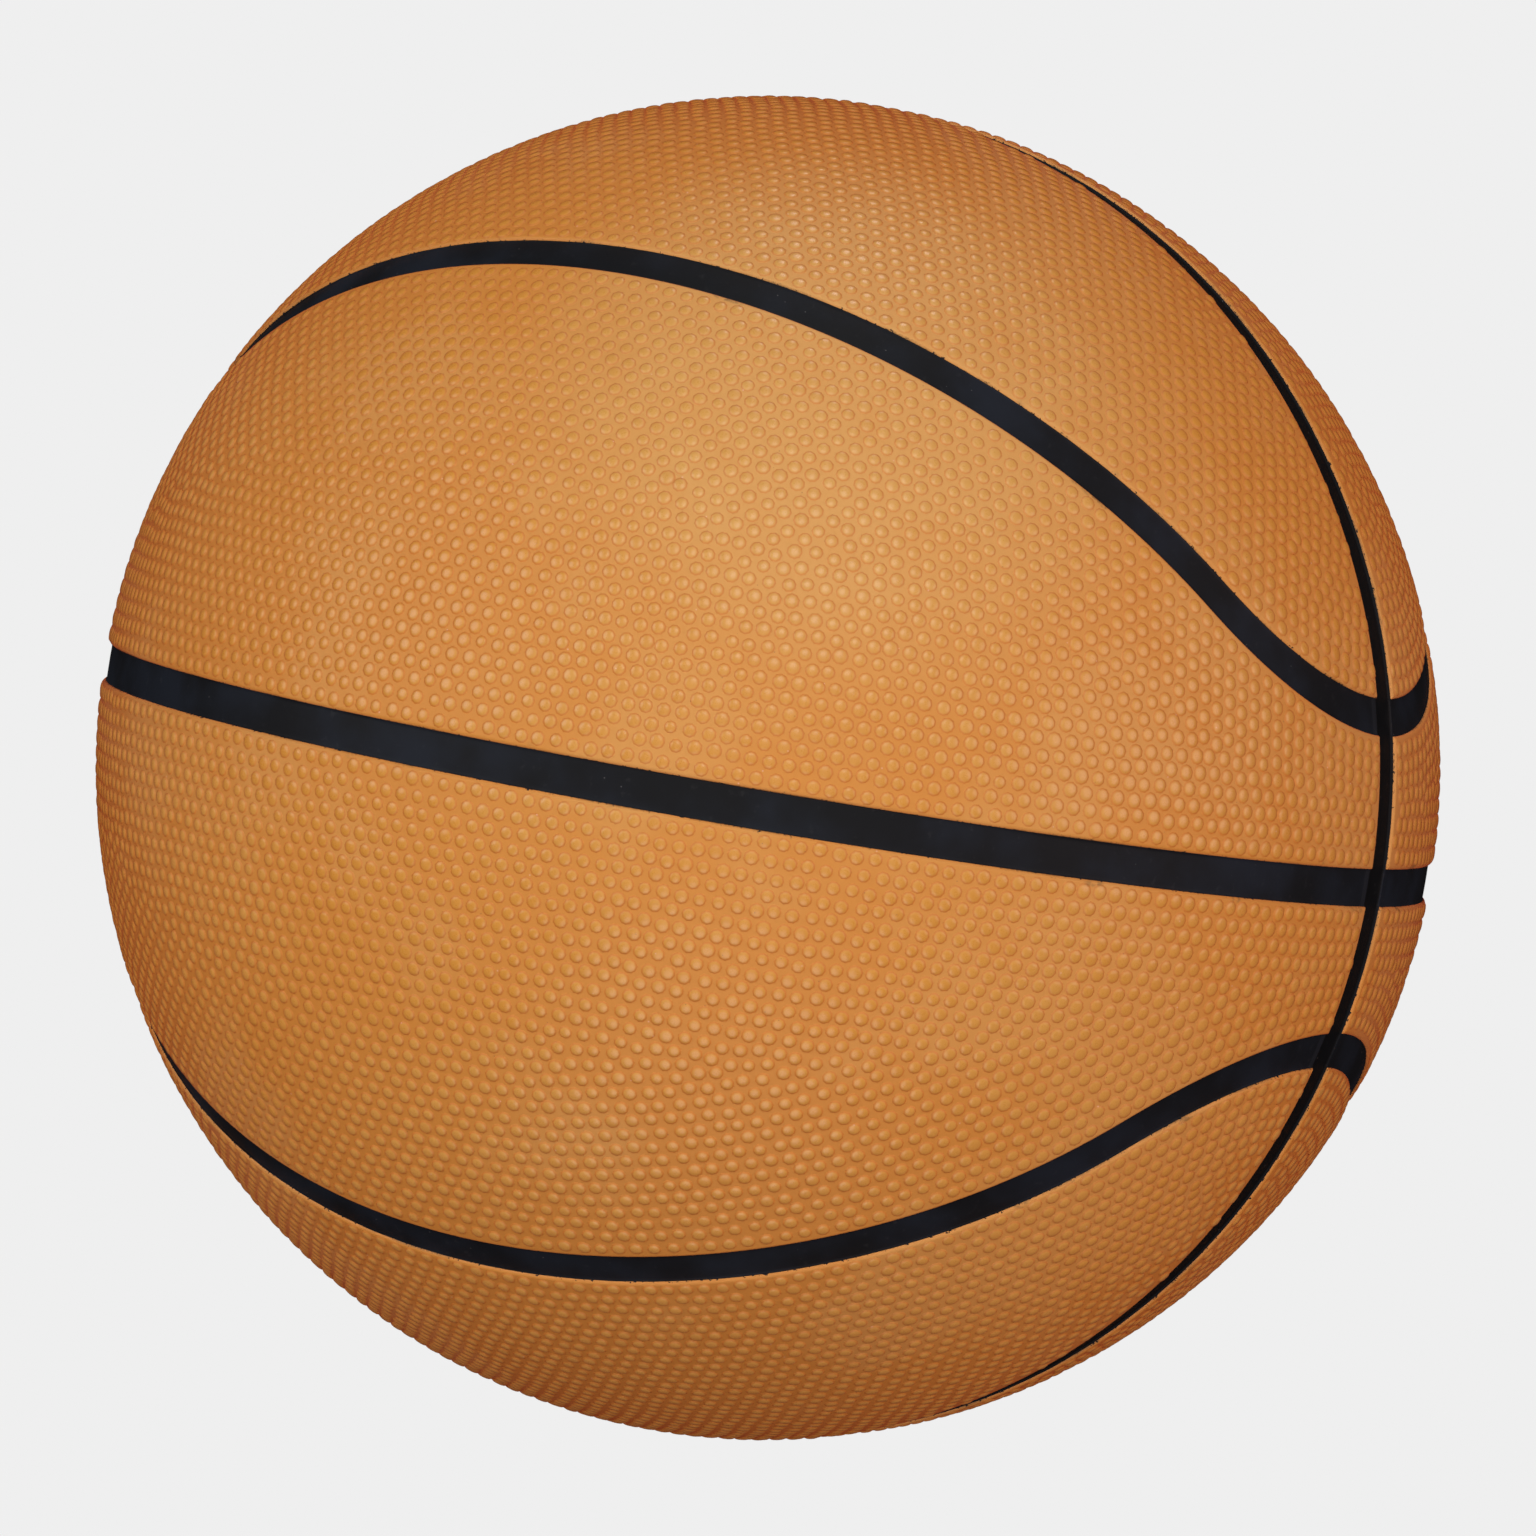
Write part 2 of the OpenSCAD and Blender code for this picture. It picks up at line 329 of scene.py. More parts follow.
class Skin:
    """Points and triangles of a piece, gathered part by part."""

    def __init__(self):
        self.points, self.triangles, self.count = [], [], 0

    def add(self, points):
        """Takes an array of points and returns the numbers of its vertices in the same layout."""
        index = np.arange(points[..., 0].size).reshape(points.shape[:-1]) + self.count
        self.points.append(points.reshape(-1, 3))
        self.count += index.size
        return index

    def join(self, points, triangles):
        """Takes a finished part."""
        self.triangles.append(triangles + self.count)
        self.add(points)

    def tube(self, points):
        """Takes closed rings of points, joins each to the next, and returns their numbers."""
        index = self.add(points)
        self.triangles.append(grid_triangles(np.concatenate([index, index[:, :1]], axis=1)))
        return index

    def rings(self, seams, kind, steps):
        """Closed rings along a panel's outline, one for each (inset, share, radius), joined by
        faces. A radius may be a function of the directions."""
        made = []
        for inset, share, radius in steps:
            ring = seams.outline(kind, inset, share)
            reach = radius(ring)[:, None] if callable(radius) else radius
            made.append(ring * reach)
        return self.tube(np.array(made))

    def fill(self, ring, radius, inwards=False):
        """Fills a panel's ring: straight rows from its lower to its upper edge, pushed out to
        radius."""
        points = np.concatenate(self.points)
        rows = Seams.ROWS
        columns = len(ring) // 2 - rows + 1
        lower, right, upper, left = np.split(ring, np.cumsum([columns, rows - 1, columns]))
        upper, left = upper[::-1], left[::-1]
        share = np.linspace(0, 1, rows + 1)[1:-1, None, None]
        between = (1 - share) * points[lower[1:-1]] + share * points[upper[1:-1]]
        inner = self.add(unit(between) * radius)
        index = np.concatenate([left[:, None], inner, right[:, None]], axis=1)
        triangles = grid_triangles(np.concatenate([lower[None], index, upper[None]]))
        self.triangles.append(triangles[:, ::-1] if inwards else triangles)

    def arrays(self):
        return np.concatenate(self.points), np.concatenate(self.triangles)


def mirrored(points, triangles, signs):
    """A copy in another quarter of the ball. An odd number of mirrors turns each face round."""
    if np.prod(signs) < 0:
        triangles = triangles[:, ::-1]
    return points * signs, triangles


def mesh_object(name, points, triangles):
    """A smooth mesh object at the origin, with its place in its mesh."""
    mesh = bpy.data.meshes.new(name)
    mesh.vertices.add(len(points))
    mesh.vertices.foreach_set("co", points.astype(np.float32).ravel())
    mesh.loops.add(triangles.size)
    mesh.loops.foreach_set("vertex_index", triangles.astype(np.int32).ravel())
    mesh.polygons.add(len(triangles))
    mesh.polygons.foreach_set("loop_start", np.arange(0, triangles.size, 3, dtype=np.int32))
    mesh.update(calc_edges=True)
    mesh.shade_smooth()
    piece = bpy.data.objects.new(name, mesh)
    bpy.context.scene.collection.objects.link(piece)
    return piece


def mesh_arrays(mesh):
    """Points and triangles of a mesh."""
    mesh.calc_loop_triangles()
    points = np.empty(len(mesh.vertices) * 3, np.float32)
    mesh.vertices.foreach_get("co", points)
    triangles = np.empty(len(mesh.loop_triangles) * 3, np.int32)
    mesh.loop_triangles.foreach_get("vertices", triangles)
    return points.reshape(-1, 3).astype(float), triangles.reshape(-1, 3)


def welded(points, triangles, distance=2e-6):
    """Merges points that lie together, and drops triangles that lose their width. The cells that
    points are sorted into are shifted, so that no round value lies on their borders."""
    keys = np.round(points / distance + 0.137).astype(np.int64)
    _, first, number = np.unique(keys, axis=0, return_index=True, return_inverse=True)
    triangles = number.reshape(-1)[triangles]
    wide = (triangles != np.roll(triangles, 1, axis=1)).all(1)
    return points[first], triangles[wide]


def bored(points, triangles, radius):
    """Cuts a round hole along the valve's axis with a Boolean modifier: a cylinder with 64 sides
    from 0.9 to 1.05 of the ball's radius."""
    body = mesh_object("bored_body", *welded(points, triangles))
    stations = np.array([0.9, 1.05])[:, None, None] * BALL_R * VALVE_AXIS
    skin = Skin()
    index = skin.tube(spokes(VALVE_AXIS, 64) * radius + stations)
    centres = skin.add(stations[:, 0])
    for ring, centre, order in ((index[0], centres[0], 1), (index[1], centres[1], -1)):
        fan = np.stack([np.full(len(ring), centre), np.roll(ring, -1), ring], axis=1)
        skin.triangles.append(fan[:, ::order])
    cutter = mesh_object("bored_cutter", *skin.arrays())
    boolean = body.modifiers.new("hole", "BOOLEAN")
    boolean.operation = "DIFFERENCE"
    boolean.solver = "EXACT"
    boolean.object = cutter
    shown = body.evaluated_get(bpy.context.evaluated_depsgraph_get())
    made = mesh_arrays(shown.to_mesh())
    shown.to_mesh_clear()
    for scrap in (body, cutter):
        bpy.data.objects.remove(scrap)
    return made


def float_attribute(piece, name, values):
    """Gives each point of the piece a number."""
    layer = piece.data.attributes.new(name, "FLOAT", "POINT")
    layer.data.foreach_set("value", values.astype(np.float32))


def bake_map(piece, points, triangles, middle, floor_r):
    """The map that a bake writes through. The angle along the great circle through the X axis and
    the piece's middle becomes u, and the angle beside it v. The halves left and right of X = 0
    lie one above the other, and above them, smaller, the underside, with the wall as its rim."""
    corners = points[triangles]
    reach = np.linalg.norm(corners, axis=2)
    aims = corners / reach[..., None]
    along = np.arctan2(aims[..., 0], aims @ middle) / (math.pi / 2)
    beside = np.arcsin(np.clip(aims @ np.cross(X_AXIS, middle), -1, 1))
    low, high = beside.min(), beside.max()
    share = (beside - low) / (high - low)
    # the halves are strips 0.38 high from v 0.41 and 0.01, and the underside lies round (0.5, 0.9)
    right = (along.mean(axis=1) > 0)[:, None]
    u = 0.02 + 0.96 * np.where(right, along, -along)
    v = np.where(right, 0.41, 0.01) + 0.38 * share
    under = (reach.min(axis=1) < floor_r - 0.3 * MM)[:, None]
    swell = 0.92 + 0.08 * (reach - reach.min()) / (floor_r - reach.min())
    u = np.where(under, 0.5 + 0.48 * along * swell, u)
    v = np.where(under, 0.9 + 0.18 * (share - 0.5) * swell, v)
    layer = piece.data.uv_layers.new(name="OFBake")
    layer.uv.foreach_set("vector", np.stack([u, v], axis=2).astype(np.float32).ravel())


def waves(directions, length, draw, count=5):
    """Smooth random values from about -1 to 1: sine waves of this length that run over the ball
    in random directions, added up and divided by half their number."""
    total = 0
    for _ in range(count):
        run = unit(draw.standard_normal(3)) * 2 * math.pi * BALL_R / length
        total = total + np.sin(directions @ run + draw.uniform(0, 2 * math.pi))
    return total / (count / 2)


class Cover:
    """Shape of the cover panels."""

    # rings of a pebble, as shares of its radius and height
    PROFILE = ((0.4, 0.92), (0.7, 0.7), (0.9, 0.34), (1.06, -0.1))
    SIDES = 9  # of a ring
    SHOULDER_RINGS, EVEN_STRIP = 9, 1.5 * MM  # the strip lies between shoulder and filling
    ROWS, CAP_ROWS = 18, 35  # along the equator or beside a loop, and inside a loop
    # points of the curves that rows are measured on, and where these end: the angle from the
    # front's middle, the angle on the tip arc, and y as a share of the ball's radius
    EQUATOR_POINTS, SIDE_POINTS, TIP_POINTS = 400, 300, 200
    EQUATOR_END, TIP_END, Y_END = 0.55 * math.pi, -0.3, 0.05
    NEAT, LOOSE = 6 * MM, 16 * MM  # depth up to which rows stay neat, and over which they loosen
    STIFF, SLACK = 0.08, 0.85  # looseness of a neat row, and how much it grows
    WANDER = 38 * MM  # length of the waves in which the rows wander
    # shares of the pebbles' spacing: how much wider it is in the rows beside a loop, how close
    # two rows of different kinds may meet, how far pebbles are thrown at first and at last, and
    # from how near they push each other apart
    LOOP_SPACING, MEETING, THROW, LAST_THROW, REACH = 1.04, 0.72, 0.15, 0.035, 1.25
    ROUNDS, PUSH = 24, 0.22  # rounds of pushing, and the share of each push
    # spreads of the pebbles' sizes and heights, and how much larger they are near the X ends
    SIZE_SPREAD, HEIGHT_SPREAD, END_GROWTH = 0.05, 0.1, 0.13

    def __init__(self, scene):
        self.channels, self.pebbles = scene.ball_channels, scene.ball_pebbles
        self.seams = Seams(self.channels)
        self.floor_r = BALL_R - self.channels.depth
        self.valley_r = BALL_R - self.pebbles.height
        self.inner_r = BALL_R - COVER_T
        self.width, self.rise = self.channels.shoulder, self.valley_r - self.floor_r

    def shell(self, kind):
        """Closed shell of a panel without its pebbles. Its wall stands at the channel's edge, and
        the shoulder above it is a quarter ellipse: inset = width (1 - cos a) and height above
        the floor = rise sin a, for a from 0 to a right angle."""
        turn = np.linspace(0, math.pi / 2, self.SHOULDER_RINGS)
        shoulder = zip(self.width * (1 - np.cos(turn)), self.floor_r + self.rise * np.sin(turn))
        steps = [(0, 1, self.inner_r)] + [(inset, 1, radius) for inset, radius in shoulder]
        steps.append((self.width + self.EVEN_STRIP, 1, self.valley_r))
        skin = Skin()
        index = skin.rings(self.seams, kind, steps)
        skin.fill(index[-1], self.valley_r)
        skin.fill(index[0], self.inner_r, inwards=True)
        return welded(*skin.arrays())

    def ground(self, inset):
        """Radius of the bare panel at each inset: the shoulder's quarter ellipse,
        floor + rise sqrt(1 - (1 - inset / width)^2), and the valley's radius past it."""
        share = np.clip(inset / self.width, 0, 1)
        return self.floor_r + self.rise * np.sqrt(1 - (1 - share) ** 2)

    def rim(self, points):
        """Distance from a wall's foot along the surface: round the shoulder as along a circle of
        its mean radius, then along the ball."""
        reach = np.linalg.norm(points, axis=1)
        inset = self.seams.inset(points / reach[:, None])
        turn = np.arctan2((reach - self.floor_r) / self.rise, (self.width - inset) / self.width)
        mean = (self.width + self.rise) / 2
        beyond = mean * math.pi / 2 + inset - self.width
        return np.where(inset < self.width, mean * turn, beyond)

    def row(self, curve, spacing, shift):
        """Evenly spaced places on a curve that starts at the front's middle, from its start and
        moved on by shift spacings, with their mirror images on the other half."""
        steps = np.linalg.norm(np.diff(curve, axis=0), axis=1) * BALL_R
        along = np.append(0, np.cumsum(steps))
        at = np.arange(shift, along[-1] / spacing) * spacing
        half = np.stack([np.interp(at, along, axis) for axis in curve.T], axis=1)
        return unit(np.concatenate([half, half[at > 0] * (-1, 1, 1)]))

    def equator_rows(self):
        """Rows on parallels over the upper front quarter and a little past it."""
        turn = np.linspace(0, self.EQUATOR_END, self.EQUATOR_POINTS)[:, None]
        ring = np.sin(turn) * X_AXIS - np.cos(turn) * Y_AXIS
        made = []
        for number in range(self.ROWS):
            rise = self.pebbles.first_row + number * self.pebbles.row_pitch
            rise = (self.channels.equator_width / 2 + rise) / BALL_R
            curve = math.cos(rise) * ring + math.sin(rise) * Z_AXIS
            made.append(self.row(curve, self.pebbles.spacing, number % 2 / 2))
        return np.concatenate(made)

    def loop_rows(self, kind):
        """Rows beside the loop, on arcs round the same axes as the loop's own, and a little past
        the meridian. Inside the loop the last rows miss the tip."""
        seams, spacing = self.seams, self.pebbles.spacing
        first = self.pebbles.first_cap_row if kind == "cap" else self.pebbles.first_band_row
        side_turn = np.linspace(math.pi / 2, seams.side_start, self.SIDE_POINTS)[:, None]
        tip_turn = np.linspace(seams.tip_sweep, self.TIP_END, self.TIP_POINTS)[1:, None]
        made = []
        for number in range(self.CAP_ROWS if kind == "cap" else self.ROWS):
            away = self.channels.loop_width / 2 + first + number * self.pebbles.row_pitch
            inside = away / BALL_R * (1 if kind == "cap" else -1)
            curve = seams.side_arc(side_turn, inside)
            radius = seams.tip_radius - inside
            if radius > 0:
                curve = np.concatenate([curve, seams.tip_arc(tip_turn, radius)])
            curve = curve[curve[:, 1] < self.Y_END]
            made.append(self.row(curve, self.LOOP_SPACING * spacing, number % 2 / 2))
        return np.concatenate(made)

    def places(self, kind, draw):
        """Middles of a panel's pebbles. Rows run along the equator and the loop, and a band's two
        sets meet halfway between them. Each place is thrown a little, more so far from the
        channels, and then neighbours push each other apart until they lie evenly."""
        spacing = self.pebbles.spacing
        places = self.loop_rows(kind)
        if kind == "band":
            far = self.seams.distances(places)
            places = places[far["loop"] < far["equator"]]
            low = self.equator_rows()
            far = self.seams.distances(low)
            low = low[(far["equator"] < far["loop"]) & ~self.seams.in_loop(low)]
            clear = (places @ low.T).max(axis=1) < math.cos(self.MEETING * spacing / BALL_R)
            places = np.concatenate([low, places[clear]])
        far = self.seams.distances(places)
        depth = np.minimum(far["equator"], far["loop"]) - self.NEAT
        loose = (self.SLACK * ease(depth / self.LOOSE) + self.STIFF)[:, None]
        shift = np.stack([waves(places, self.WANDER, draw) for _ in range(3)], axis=1)
        places = unit(places + self.pebbles.warp / BALL_R * shift * (0.3 + loose))
        throw = draw.normal(0, self.THROW * spacing / BALL_R, places.shape)
        places = unit(places + throw * loose)
        reach = self.REACH * spacing / BALL_R
        for step in range(self.ROUNDS):
            if step % 6 == 0:  # neighbours are looked up anew, from a little further off
                near = np.triu(places @ places.T > math.cos(1.3 * reach), 1)
                first, second = np.nonzero(near)
            gap = places[first] - places[second]
            far = np.linalg.norm(gap, axis=1, keepdims=True)
            push = gap / far * np.clip(1 - far / reach, 0, 1) * reach
            shift = np.zeros_like(places)
            np.add.at(shift, first, push)
            np.subtract.at(shift, second, push)
            places = unit(places + self.PUSH * loose * shift)
        return unit(places + draw.normal(0, self.LAST_THROW * spacing / BALL_R, places.shape))

    def kept(self, places, kind, signs):
        """The places that lie on the panel, clear of its channels and of the valve."""
        mine = (places[:, 1] < 0) & (places[:, 2] > 0)
        mine &= self.seams.in_loop(places) == (kind == "cap")
        clear = self.seams.inset(places) > self.pebbles.margin
        from_valve = np.arccos(np.clip((places * signs) @ VALVE_AXIS, -1, 1)) * BALL_R
        clear &= from_valve > self.pebbles.valve_ring + self.pebbles.diameter / 2
        return places[mine & clear]

    def domes(self, places, draw):
        """One low dome on each place: a middle point and rings at set shares of its radius, laid
        along the ball. A point stands on the ground at its own inset, and its height fades to
        nothing down the shoulder. Sizes and heights vary a little, and pebbles near the ball's
        X ends are larger. Returns points, triangles, the share of the height at each point and
        a random tone for each dome."""
        count = len(places)
        ends = ease((np.abs(places[:, 0]) - 0.55) / 0.4)  # grows from x at 0.55 of the radius
        size = 1 + self.SIZE_SPREAD * draw.standard_normal(count) + self.END_GROWTH * ends
        size = self.pebbles.diameter / 2 * size
        height = 1 + self.HEIGHT_SPREAD * draw.standard_normal(count).clip(-2, 1)
        height = self.pebbles.height * height
        turn = draw.uniform(0, 2 * math.pi, (count, 1))
        turn = turn + np.arange(self.SIDES) * 2 * math.pi / self.SIDES
        # any direction does that no pebble of the upper front quarter points in
        across = unit(np.cross(places, unit(np.array([0.31, 0.17, 1.0]))))[:, None]
        along = np.cross(places[:, None], across)
        arms = np.cos(turn)[..., None] * across + np.sin(turn)[..., None] * along
        rings = [places[:, None]]
        for share, _ in self.PROFILE:
            angle = (size * share / BALL_R)[:, None, None]
            rings.append(np.cos(angle) * places[:, None] + np.sin(angle) * arms)
        aims = np.concatenate(rings, axis=1)
        shares = np.concatenate([[1.0]] + [np.full(self.SIDES, rise) for _, rise in self.PROFILE])
        inset = self.seams.inset(aims.reshape(-1, 3)).reshape(aims.shape[:2])
        fade = np.where(shares < 0, 1, ease(inset / self.width))
        lift = shares.clip(0) * fade
        points = aims * (self.ground(inset) + height[:, None] * shares * fade)[..., None]
        here = np.arange(self.SIDES)
        after = np.roll(here, -1)
        faces = [np.stack([np.zeros(self.SIDES, int), here + 1, after + 1], axis=1)]
        for ring in range(len(self.PROFILE) - 1):
            inner, outer = 1 + ring * self.SIDES, 1 + (ring + 1) * self.SIDES
            faces.append(np.stack([inner + here, outer + here, outer + after], axis=1))
            faces.append(np.stack([inner + here, outer + after, inner + after], axis=1))
        faces = np.concatenate(faces)
        per_dome = points.shape[1]
        triangles = (faces[None] + per_dome * np.arange(count)[:, None, None]).reshape(-1, 3)
        tone = np.repeat(draw.standard_normal(count), per_dome)
        return points.reshape(-1, 3), triangles, lift.ravel(), tone

    def collar(self):
        """Smooth raised edge round the valve's hole, a closed ring let into the panel."""
        top, low = self.valley_r / MM, self.inner_r / MM
        return lathe(rounded([
            (COLLAR_R, low + 0.06, 0), (6.6, low + 0.06, 0), (6.6, top - 0.3, 0),
            (6.2, top - 0.22, 0.2), (5.3, top + 0.14, 0.5), (COLLAR_R, top - 0.1, 0.5)]))

    def panel(self, name, kind, signs, draw):
        """The whole panel as an object with its rim, lift and tone attributes."""
        skin = Skin()
        shell = mirrored(*self.shell(kind), signs)
        if "upper_back_band" in name:
            skin.join(*bored(*shell, PANEL_HOLE_R * MM))
            skin.join(*self.collar())
        else:
            skin.join(*shell)
        bare = np.zeros(skin.count)
        places = self.kept(self.places(kind, draw), kind, signs)
        points, triangles, lift, tone = self.domes(places, draw)
        skin.join(*mirrored(points, triangles, signs))
        points, triangles = skin.arrays()
        piece = mesh_object(name, points, triangles)
        float_attribute(piece, "rim", self.rim(points) / MM)
        float_attribute(piece, "lift", np.concatenate([bare, lift]))
        float_attribute(piece, "tone", np.concatenate([bare, tone]))
        middle = unit(self.seams.outline(kind, 0).mean(axis=0)) * signs
        bake_map(piece, points, triangles, middle, self.floor_r)
        return piece


def carcass_skin(scene):
    """Outer surface of the ribbed carcass: in each quarter a sunk tray under each panel, its wall
    up to the channel floor, and the floor out to the channel's middle line, where the quarters
    meet. The floor rises in a hollow round at a panel's wall, rise (1 - depth / width)^2. Beside
    the meridian channel it steps up by a low lip, and then drops by a smooth step into the
    channel. The inner surface is a sphere."""
    channels = scene.ball_channels
    seams = Seams(channels)
    floor_r = BALL_R - channels.depth
    tray_r = BALL_R - COVER_T - BOND_GAP
    inner_r = tray_r - CARCASS_T
    lip_rise, lip_reach, lip_edge = 0.05 * MM, 1.75 * MM, 0.25 * MM
    wall_start, wall_width = 0.12 * MM, 0.37 * MM  # of the drop beside the meridian channel
    shares = (0, 0.3, 0.6, 0.8, 0.88, 0.93, 0.97, 1)  # of the way from middle line to edge

    def floor(directions):
        depth = -seams.inset(directions)
        rise = channels.fillet_rise * np.clip(1 - depth / channels.fillet, 0, 1) ** 2
        beside = seams.distances(directions)["meridian"] - channels.meridian_width / 2
        lip = lip_rise * ease((lip_reach - beside) / lip_edge)
        groove = (channels.groove + lip_rise) * ease((wall_start - beside) / wall_width)
        return floor_r + rise + lip - groove

    made = []
    for kind in ("band", "cap"):
        skin = Skin()
        steps = [(0, share, floor) for share in shares]
        index = skin.rings(seams, kind, steps + [(0, 1, tray_r)])
        skin.fill(index[-1], tray_r)
        inner = skin.rings(seams, kind, [(0, 0, inner_r)])
        skin.fill(inner[0], inner_r, inwards=True)
        made.append(skin.arrays())
    whole = Skin()
    for y_sign in (1, -1):
        for z_sign in (1, -1):
            for quarter in made:
                whole.join(*mirrored(*quarter, np.array([1, y_sign, z_sign])))
    return welded(*whole.arrays())


def rounded(corners):
    """A closed profile in mm, given as (radius, height, reach): each corner with a reach becomes
    the curve (1 - t)^2 a + 2 t (1 - t) c + t^2 b, where c is the corner, and a and b lie on the
    straight sides at the reach from it."""
    corners = np.array(corners, float)
    places, reach = corners[:, :2], corners[:, 2]
    turn = np.linspace(0, 1, 6)[:, None]
    made = []
    for place, before, after, size in zip(
            places, np.roll(places, 1, axis=0), np.roll(places, -1, axis=0), reach):
        if size == 0:
            made.append(place[None])
            continue
        a = place + unit(before - place) * size
        b = place + unit(after - place) * size
        made.append((1 - turn) ** 2 * a + 2 * turn * (1 - turn) * place + turn ** 2 * b)
    return np.concatenate(made)


def lathe(profile, sides=96):
    """Points and triangles of a closed profile of (radius, height along the valve's axis) in mm,
    turned round that axis. A point on the axis is one vertex."""
    profile = np.concatenate([profile, profile[:1]])[:, :, None, None] * MM
    skin = Skin()
    skin.tube(profile[:, 0] * spokes(VALVE_AXIS, sides) + profile[:, 1] * VALVE_AXIS)
    points, triangles = welded(*skin.arrays())
    corners = points[triangles]
    volume = np.einsum("ij,ij->i", corners[:, 0], np.cross(corners[:, 1], corners[:, 2])).sum()
    return points, triangles if volume > 0 else triangles[:, ::-1]


class Wire:
    """A node's output. Sums, products and the like on it add Math nodes."""

    def __init__(self, board, socket):
        self.board, self.socket = board, socket

    def math(self, operation, *values):
        return self.board.add("ShaderNodeMath", {"operation": operation}, enumerate(values))

    def __add__(self, other):
        return self.math("ADD", self, other)

    def __sub__(self, other):
        return self.math("SUBTRACT", self, other)

    def __rsub__(self, other):
        return self.math("SUBTRACT", other, self)

    def __mul__(self, other):
        return self.math("MULTIPLY", self, other)

    def __truediv__(self, other):
        return self.math("DIVIDE", self, other)

    def __rtruediv__(self, other):
        return self.math("DIVIDE", other, self)

    __radd__, __rmul__ = __add__, __mul__

    def least(self, other):
        return self.math("MINIMUM", self, other)

    def most(self, other):
        return self.math("MAXIMUM", self, other)

    def step(self, low, high):
        """0 up to low, 1 from high, smooth between them."""
        return self.board.add(
            "ShaderNodeMapRange", {"interpolation_type": "SMOOTHSTEP"},
            [(0, self), (1, low), (2, high)])


class Board:
    """The nodes of one material or world."""

    def __init__(self, owner):
        self.owner = owner
        owner.use_nodes = True
        self.tree = owner.node_tree
        self.tree.nodes.clear()

    def add(self, kind, settings=(), sockets=(), output=0):
        """Adds a node of this kind, sets it up, gives its sockets values or links, and returns
        its output."""
        node = self.tree.nodes.new(kind)
        for key, value in dict(settings).items():
            setattr(node, key, value)
        for key, value in dict(sockets).items():
            if isinstance(value, Wire):
                self.tree.links.new(value.socket, node.inputs[key])
            else:
                node.inputs[key].default_value = value
        return Wire(self, node.outputs[output])

    def place(self):
        return self.add("ShaderNodeTexCoord", output="Object")

    def separate(self, axis):
        """The place along this axis, from 0 for X to 2 for Z."""
        return self.add("ShaderNodeSeparateXYZ", {}, {0: self.place()}, output=axis)

    def towards(self, direction):
        """Cosine of the angle between the way to a place and this direction."""
        aim = self.add("ShaderNodeVectorMath", {"operation": "NORMALIZE"}, {0: self.place()})
        return self.add("ShaderNodeVectorMath", {"operation": "DOT_PRODUCT"},
                        {0: aim, 1: direction}, output="Value")

    def attribute(self, name):
        return self.add("ShaderNodeAttribute", {"attribute_name": name}, output="Fac")

    def noise(self, size, detail=2.0, roughness=0.5, where=None):
        """Noise from 0 to 1 whose features are about size metres across."""
        return self.add("ShaderNodeTexNoise", {}, {
            "Vector": where or self.place(), "Scale": 1 / size, "Detail": detail,
            "Roughness": roughness})

    def specks(self, size, share):
        """1 in small dots, 0 elsewhere. Each cell of this size holds a dot of share its size."""
        cell = self.add("ShaderNodeTexVoronoi", {}, {
            "Vector": self.place(), "Scale": 1 / size}, output="Distance")
        return 1 - cell.step(share * 0.6, share)

    def blend(self, factor, first, second):
        """Colour that goes from first to second with factor."""
        return self.add("ShaderNodeMix", {"data_type": "RGBA"},
                        [(0, factor), (6, first), (7, second)], output=2)

    def layers(self, colour, *over):
        """The colour with others blended over it in turn, each given as (share, colour)."""
        for share, other in over:
            colour = self.blend(share, colour, other)
        return colour

    def bump(self, height, distance, strength=1.0):
        """Normal over a height from 0 to 1 that stands for distance metres."""
        return self.add("ShaderNodeBump", {}, {
            "Height": height, "Distance": distance, "Strength": strength})

    def finish(self, **sockets):
        """Ends in a Principled shader. Underscores in the names stand for spaces."""
        named = {key.replace("_", " "): value for key, value in sockets.items()}
        return self.show(self.add("ShaderNodeBsdfPrincipled", {}, named))

    def show(self, shader, kind="Material"):
        """Links the shader to the output, and returns the material or world."""
        output = self.tree.nodes.new(f"ShaderNodeOutput{kind}")
        self.tree.links.new(shader.socket, output.inputs["Surface"])
        return self.owner


def opaque(colour, factor=1.0):
    """The colour times factor, with full alpha."""
    return (*[channel * factor for channel in colour], 1)


